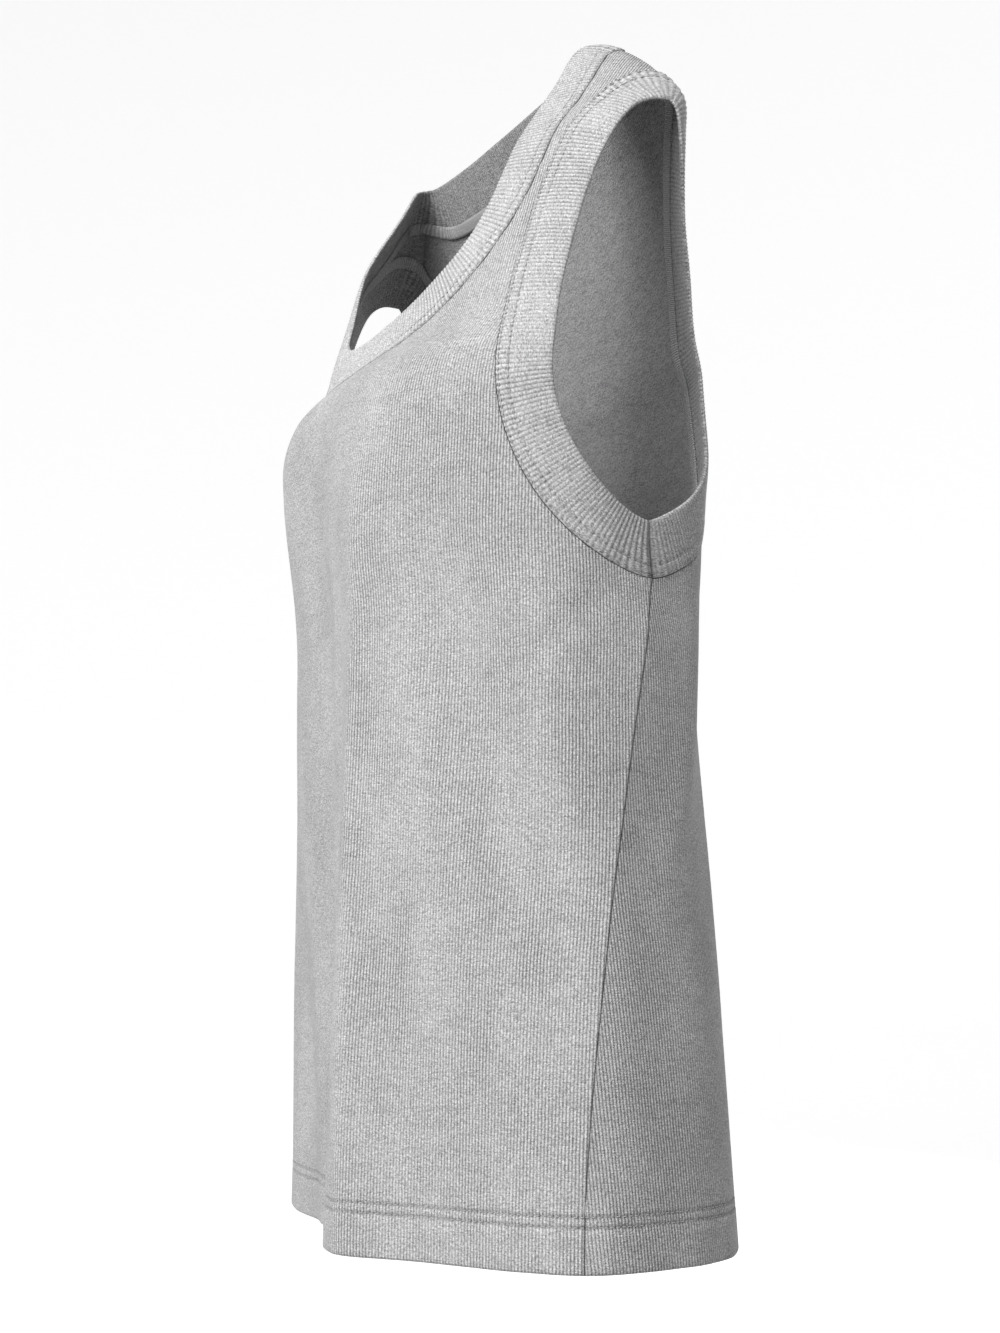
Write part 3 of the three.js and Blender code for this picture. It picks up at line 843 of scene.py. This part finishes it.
# Materials
class Nodes:
    def __init__(self, name):
        self.material = bpy.data.materials.new(name)
        self.material.use_nodes = True
        self.tree = self.material.node_tree
        self.shader = next(n for n in self.tree.nodes if n.type == "BSDF_PRINCIPLED")
        self.uv = self.add("ShaderNodeUVMap", uv_map="cloth").outputs[0]

    def add(self, kind, inputs=None, **settings):
        node = self.tree.nodes.new(kind)
        for key, value in settings.items():
            setattr(node, key, value)
        for key, value in (inputs or {}).items():
            if isinstance(value, bpy.types.NodeSocket):
                self.tree.links.new(value, node.inputs[key])
            else:
                node.inputs[key].default_value = value
        return node

    def math(self, operation, a, b=0.0):
        return self.add("ShaderNodeMath", {0: a, 1: b}, operation=operation).outputs[0]

    def scaled(self, x, y):
        node = self.add("ShaderNodeMapping", {0: self.uv})
        node.inputs["Scale"].default_value = (x, y, 1.0)
        return node.outputs[0]

    def noise(self, vector, scale, detail=2.0, rough=0.5, curl=0.0):
        inputs = {"Vector": vector, "Scale": scale, "Detail": detail, "Roughness": rough}
        inputs["Distortion"] = curl
        return self.add("ShaderNodeTexNoise", inputs).outputs[0]

    def ramp(self, value, low, high, to_low=0.0, to_high=1.0):
        return self.add(
            "ShaderNodeMapRange", {0: value, 1: low, 2: high, 3: to_low, 4: to_high}, clamp=True
        ).outputs[0]


# Heather rib knit: `pitch` millimetres from rib to rib, `groove` how much painted shade darkens it between
# them, and `streak` the patches of melange in a metre, across and along the rib
def knit_material(name, pitch, groove, bump_depth, light, dark, streak):
    n = Nodes(name)
    split = n.add("ShaderNodeSeparateXYZ", {0: n.uv})
    run, rise = split.outputs[0], split.outputs[1]
    # Melange: fibres of lighter and darker grey in short curly streaks along the yarn, over faint clouds
    streaks = n.noise(n.scaled(*streak), 1.0, 2.0, 0.65, 1.3)
    speckle = n.noise(n.scaled(1150, 1350), 1.0, 1.0, 0.5, 0.8)
    clouds = n.noise(n.scaled(60, 170), 1.0, 3.0, 0.6)
    melange = n.math("ADD", n.math("MULTIPLY", streaks, 0.40), n.math("MULTIPLY", speckle, 0.50))
    melange = n.math("ADD", melange, n.math("MULTIPLY", clouds, 0.10))
    melange = n.ramp(melange, 0.39, 0.61)
    dark_flecks = n.ramp(n.noise(n.scaled(650, 1250), 1.0, 1.0, 0.5), 0.60, 0.74)
    # Ribs: a rounded ridge with a narrow groove between two of them
    wobble = n.math("MULTIPLY", n.math("SUBTRACT", n.noise(n.scaled(16, 90), 1.0, 2.0), 0.5), 1.6)
    turn = n.math("ADD", n.math("MULTIPLY", run, 2 * math.pi / (pitch * MM)), wobble)
    ridge = n.math("ADD", n.math("MULTIPLY", n.math("COSINE", turn), 0.5), 0.5)
    ridge = n.math("POWER", ridge, 0.55)
    loops = n.math("MULTIPLY", n.math("COSINE", n.math("MULTIPLY", rise, 2 * math.pi / (1.1 * MM))), ridge)
    shade = n.add("ShaderNodeMix", {0: melange}, data_type="RGBA")
    shade.inputs["A"].default_value = (*dark, 1)
    shade.inputs["B"].default_value = (*light, 1)
    fleck = n.add("ShaderNodeMix", {0: n.math("MULTIPLY", dark_flecks, 0.5)}, data_type="RGBA")
    n.tree.links.new(shade.outputs["Result"], fleck.inputs["A"])
    fleck.inputs["B"].default_value = (dark[0] * 0.45, dark[1] * 0.45, dark[2] * 0.46, 1)
    # Some stretches of rib are more open than others, with deeper painted shade in their grooves
    opened = n.ramp(n.noise(n.scaled(26, 12), 1.0, 2.0), 0.38, 0.62, 0.5, 1.0)
    # Painted shade in the grooves between the ribs
    shadow = n.math("MULTIPLY", n.math("SUBTRACT", 1.0, ridge), n.math("MULTIPLY", opened, groove))
    # Painted shade from the 'shade' attribute, at seams, stitch holes, joins and hem rows, darkens the
    # colour too
    painted_seam_shade = n.add("ShaderNodeAttribute", attribute_name="shade").outputs["Fac"]
    tone = n.add("ShaderNodeVectorMath", {0: fleck.outputs["Result"]}, operation="SCALE")
    n.tree.links.new(n.math("MULTIPLY", n.math("SUBTRACT", 1.0, shadow), painted_seam_shade), tone.inputs["Scale"])
    n.tree.links.new(tone.outputs[0], n.shader.inputs["Base Color"])
    fuzz = n.noise(n.scaled(2100, 2100), 1.0, 2.0)
    height = n.math("ADD", ridge, n.math("MULTIPLY", loops, 0.16))
    height = n.math("ADD", height, n.math("MULTIPLY", fuzz, 0.3))
    height = n.math("ADD", height, n.math("MULTIPLY", speckle, 0.5))
    height = n.math("ADD", height, n.math("MULTIPLY", streaks, 0.9))
    bump = n.add("ShaderNodeBump", {"Height": height, "Distance": bump_depth * MM, "Strength": 1.0})
    n.tree.links.new(bump.outputs[0], n.shader.inputs["Normal"])
    n.tree.links.new(n.ramp(streaks, 0.3, 0.7, 0.86, 0.97), n.shader.inputs["Roughness"])
    n.shader.inputs["Sheen Weight"].default_value = 0.2
    n.shader.inputs["Sheen Roughness"].default_value = 0.5
    n.shader.inputs["Specular IOR Level"].default_value = 0.12
    return n.material


# Patches of the melange in a metre, across and along the ribs
OUTER_STREAKS = (520, 980)
INNER_STREAKS = (210, 1300)
LIGHT_GREY = (0.86, 0.855, 0.86)
DARK_GREY = (0.36, 0.357, 0.362)
# The inner face shows the back of the loops; its greys are darker as painted shade on the garment's inside
SHADED_INSIDE_LIGHT_GREY = (0.54, 0.537, 0.542)
SHADED_INSIDE_DARK_GREY = (0.16, 0.159, 0.161)
knit = knit_material("heather_knit", KNIT_PITCH, 0.64, 0.36, LIGHT_GREY, DARK_GREY, OUTER_STREAKS)
rib = knit_material("heather_rib", RIB_PITCH, 0.56, 0.26, LIGHT_GREY, DARK_GREY, OUTER_STREAKS)
knit_inside = knit_material(
    "heather_knit_inside_shaded", KNIT_PITCH, 0.2, 0.3, SHADED_INSIDE_LIGHT_GREY, SHADED_INSIDE_DARK_GREY, INNER_STREAKS
)
rib_inside = knit_material(
    "heather_rib_inside_shaded", RIB_PITCH, 0.45, 0.24, SHADED_INSIDE_LIGHT_GREY, SHADED_INSIDE_DARK_GREY, OUTER_STREAKS
)


def thread_material(name, dark, light, turns, bump_depth):
    n = Nodes(name)
    wave = {"Vector": n.scaled(1, 1), "Scale": turns, "Distortion": 1.5, "Detail": 1.0}
    twist = n.add("ShaderNodeTexWave", wave).outputs[1]
    fibre = n.noise(n.scaled(900, 900), 1.0, 2.0)
    tone = n.math("ADD", n.math("MULTIPLY", n.ramp(fibre, 0.3, 0.7), 0.5), n.math("MULTIPLY", twist, 0.5))
    blend = n.add("ShaderNodeMix", {0: tone}, data_type="RGBA")
    blend.inputs["A"].default_value = (*dark, 1)
    blend.inputs["B"].default_value = (*light, 1)
    n.tree.links.new(blend.outputs["Result"], n.shader.inputs["Base Color"])
    bump = n.add("ShaderNodeBump", {"Height": twist, "Distance": bump_depth * MM, "Strength": 1.0})
    n.tree.links.new(bump.outputs[0], n.shader.inputs["Normal"])
    rough = n.ramp(fibre, 0.3, 0.7, 0.6, 0.8)
    n.tree.links.new(rough, n.shader.inputs["Roughness"])
    n.shader.inputs["Sheen Weight"].default_value = 0.15
    return n.material


thread = thread_material("grey_thread", (0.42, 0.42, 0.425), (0.56, 0.56, 0.565), 420.0, 0.12)
overlock = thread_material("overlock_thread", (0.22, 0.22, 0.225), (0.62, 0.62, 0.625), 330.0, 0.5)

# The garment
neck = neck_loop()
armhole = armhole_loop()
neck_seam = stations_from(neck, [RIB_WIDTH + SEAM_GAP])[0]
armhole_seam = stations_from(armhole, [RIB_WIDTH + SEAM_GAP])[0]
front_end = NECK_FRONT_STEPS + 1
back_end = NECK_FRONT_STEPS + NECK_BACK_STEPS + 1
neck_front_seam = tuple(part[:front_end] for part in neck_seam)
neck_back_seam = tuple(part[front_end - 1 : back_end][::-1] for part in neck_seam)
arm_back_seam = tuple(part[: ARMHOLE_STEPS + 1] for part in armhole_seam)
arm_front_seam = tuple(
    np.concatenate([part[:1], part[ARMHOLE_STEPS:][::-1]]) for part in armhole_seam
)

front_panel = panel(
    "cloth_front_panel", 0.0, neck_front_seam, arm_front_seam, FRONT_NECK_ROWS, (knit, knit_inside)
)
back_panel = panel(
    "cloth_back_panel", math.pi, neck_back_seam, arm_back_seam, BACK_NECK_ROWS, (knit, knit_inside)
)

neck_join = neck["run"][NECK_FRONT_STEPS] + 4
neck_band = band("cloth_neck_rib", neck, (rib, rib_inside), neck_join)
left_band = band("cloth_left_armhole_rib", armhole, (rib, rib_inside), 0.0)
right_band = band("cloth_right_armhole_rib", armhole, (rib, rib_inside), 0.0, mirrored=True)

on_band = RIB_STANDS_OUT - STITCH_SINKS
neck_stitches = stitch_rows("thread_neck", neck, NEEDLE_ROWS, thread, on_band)
left_stitches = stitch_rows("thread_left_armhole", armhole, NEEDLE_ROWS, thread, on_band)
right_stitches = stitch_rows("thread_right_armhole", armhole, NEEDLE_ROWS, thread, on_band, mirrored=True)
neck_strip = seam_strip("seam_neck", neck, overlock)
left_strip = seam_strip("seam_left_armhole", armhole, overlock)
right_strip = seam_strip("seam_right_armhole", armhole, overlock, mirrored=True)


# A level loop round the garment, for the needle rows of the hem
def level_loop(height):
    angle = np.linspace(0, 2 * math.pi, 1800, endpoint=False)
    heights = np.full(len(angle), float(height))
    points = cloth_point(angle, heights)
    steps = np.linalg.norm(np.roll(points, -1, axis=0) - points, axis=1)
    run = np.concatenate([[0], np.cumsum(steps)])
    up = np.tile([0.0, 0.0, 1.0], (len(angle), 1))
    return {"angle": angle, "height": heights, "away": up, "run": run[:-1], "length": run[-1]}


hem_stitches = stitch_rows("thread_hem", level_loop(0), HEM_NEEDLE_ROWS, thread, -0.15)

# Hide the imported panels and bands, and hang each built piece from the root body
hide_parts("front_panel")
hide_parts("back_panel")
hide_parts("neck_rib")
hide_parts("left_armhole_rib")
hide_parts("right_armhole_rib")
for piece in (
    front_panel, back_panel, neck_band, left_band, right_band, hem_stitches,
    neck_stitches, left_stitches, right_stitches, neck_strip, left_strip, right_strip,
):
    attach(piece, "root")


# Studio
def stage_material():
    n = Nodes("pale_paper")
    place = n.add("ShaderNodeTexCoord").outputs["Object"]
    grain = n.add("ShaderNodeTexNoise", {"Vector": place, "Scale": 60.0, "Detail": 3.0}).outputs[0]
    tone = n.add("ShaderNodeMix", {0: grain}, data_type="RGBA")
    tone.inputs["A"].default_value = (0.90, 0.90, 0.905, 1)
    tone.inputs["B"].default_value = (0.93, 0.93, 0.93, 1)
    n.tree.links.new(tone.outputs["Result"], n.shader.inputs["Base Color"])
    n.shader.inputs["Roughness"].default_value = 0.95
    n.tree.links.new(tone.outputs["Result"], n.shader.inputs["Emission Color"])
    n.shader.inputs["Emission Strength"].default_value = 0.60
    return n.material


FLOOR_DROP = 0.45
floor_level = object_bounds()[0][2] - FLOOR_DROP


# A paper sweep: flat floor that curves up, seamless, far behind on every side
def sweep():
    rings = [0.0, 1.0, 2.2, 3.2, 3.9, 4.5, 4.95, 5.25, 5.4, 5.45]
    lifts = [0.0, 0.0, 0.0, 0.0, 0.1, 0.35, 0.8, 1.4, 2.4, 6.0]
    sides = 72
    points = [(0.0, 0.0, floor_level)]
    for radius, lift in zip(rings[1:], lifts[1:]):
        for side in range(sides):
            at = 2 * math.pi * side / sides
            points.append((radius * math.cos(at), radius * math.sin(at), floor_level + lift))
    faces = [(0, 1 + side, 1 + (side + 1) % sides) for side in range(sides)]
    faces += [tuple(f) for f in grid_faces(len(rings) - 1, sides, 1, close_columns=True, flip=True)]
    mesh = bpy.data.meshes.new("paper_sweep")
    mesh.from_pydata(points, [], [tuple(int(i) for i in f) for f in faces])
    mesh.polygons.foreach_set("use_smooth", np.ones(len(mesh.polygons), dtype=bool))
    mesh.materials.append(stage_material())
    obj = bpy.data.objects.new("paper_sweep", mesh)
    bpy.context.scene.collection.objects.link(obj)
    obj.visible_diffuse = False


sweep()

# Camera: nearly level with the middle, tilted up a little, seeing the front and the left side
AZIMUTH = math.radians(61.396)
TILT = math.radians(9.774)
DISTANCE = 941.449
SIDEWAYS = 22.375
EYE_HEIGHT = 136.794
FOCAL = 1719.597
IMAGE_LONG_SIDE = 1333
SENSOR = 36.0
out = np.array([math.sin(AZIMUTH), -math.cos(AZIMUTH), 0.0])
right = np.array([math.cos(AZIMUTH), math.sin(AZIMUTH), 0.0])
upward = np.array([0.0, 0.0, 1.0])
eye = (out * DISTANCE + right * SIDEWAYS + upward * EYE_HEIGHT - ORIGIN) * MM
back = out * math.cos(TILT) - upward * math.sin(TILT)
top = out * math.sin(TILT) + upward * math.cos(TILT)
camera_data = bpy.data.cameras.new("camera")
camera_data.sensor_width = SENSOR
camera_data.sensor_fit = "AUTO"
camera_data.lens = FOCAL * SENSOR / IMAGE_LONG_SIDE
camera_data.clip_end = 60
camera = bpy.data.objects.new("camera", camera_data)
bpy.context.scene.collection.objects.link(camera)
matrix = np.eye(4)
matrix[:3, 0], matrix[:3, 1], matrix[:3, 2], matrix[:3, 3] = right, top, back, eye
camera.matrix_world = Matrix(matrix.tolist())
bpy.context.scene.camera = camera


def area_light(name, place, target, size, power):
    data = bpy.data.lights.new(name, "AREA")
    data.shape = "RECTANGLE"
    data.size, data.size_y = size
    data.energy = power
    obj = bpy.data.objects.new(name, data)
    bpy.context.scene.collection.objects.link(obj)
    obj.location = place
    away = Vector(target) - Vector(place)
    obj.rotation_euler = away.to_track_quat("-Z", "Y").to_euler()


middle = (0.0, 0.0, -0.30)
area_light("key", (0.6, -2.6, 1.5), middle, (1.8, 2.2), 72)
area_light("side", (1.55, -2.5, 0.6), middle, (1.4, 2.2), 42)
area_light("rear", (-1.3, 2.6, 0.9), middle, (1.8, 2.0), 44)

world = bpy.data.worlds.new("studio")
bpy.context.scene.world = world
world.use_nodes = True
background = world.node_tree.nodes["Background"]
background.inputs[0].default_value = (1.0, 1.0, 1.0, 1)
background.inputs[1].default_value = 0.33

bpy.context.scene.view_settings.view_transform = "Standard"
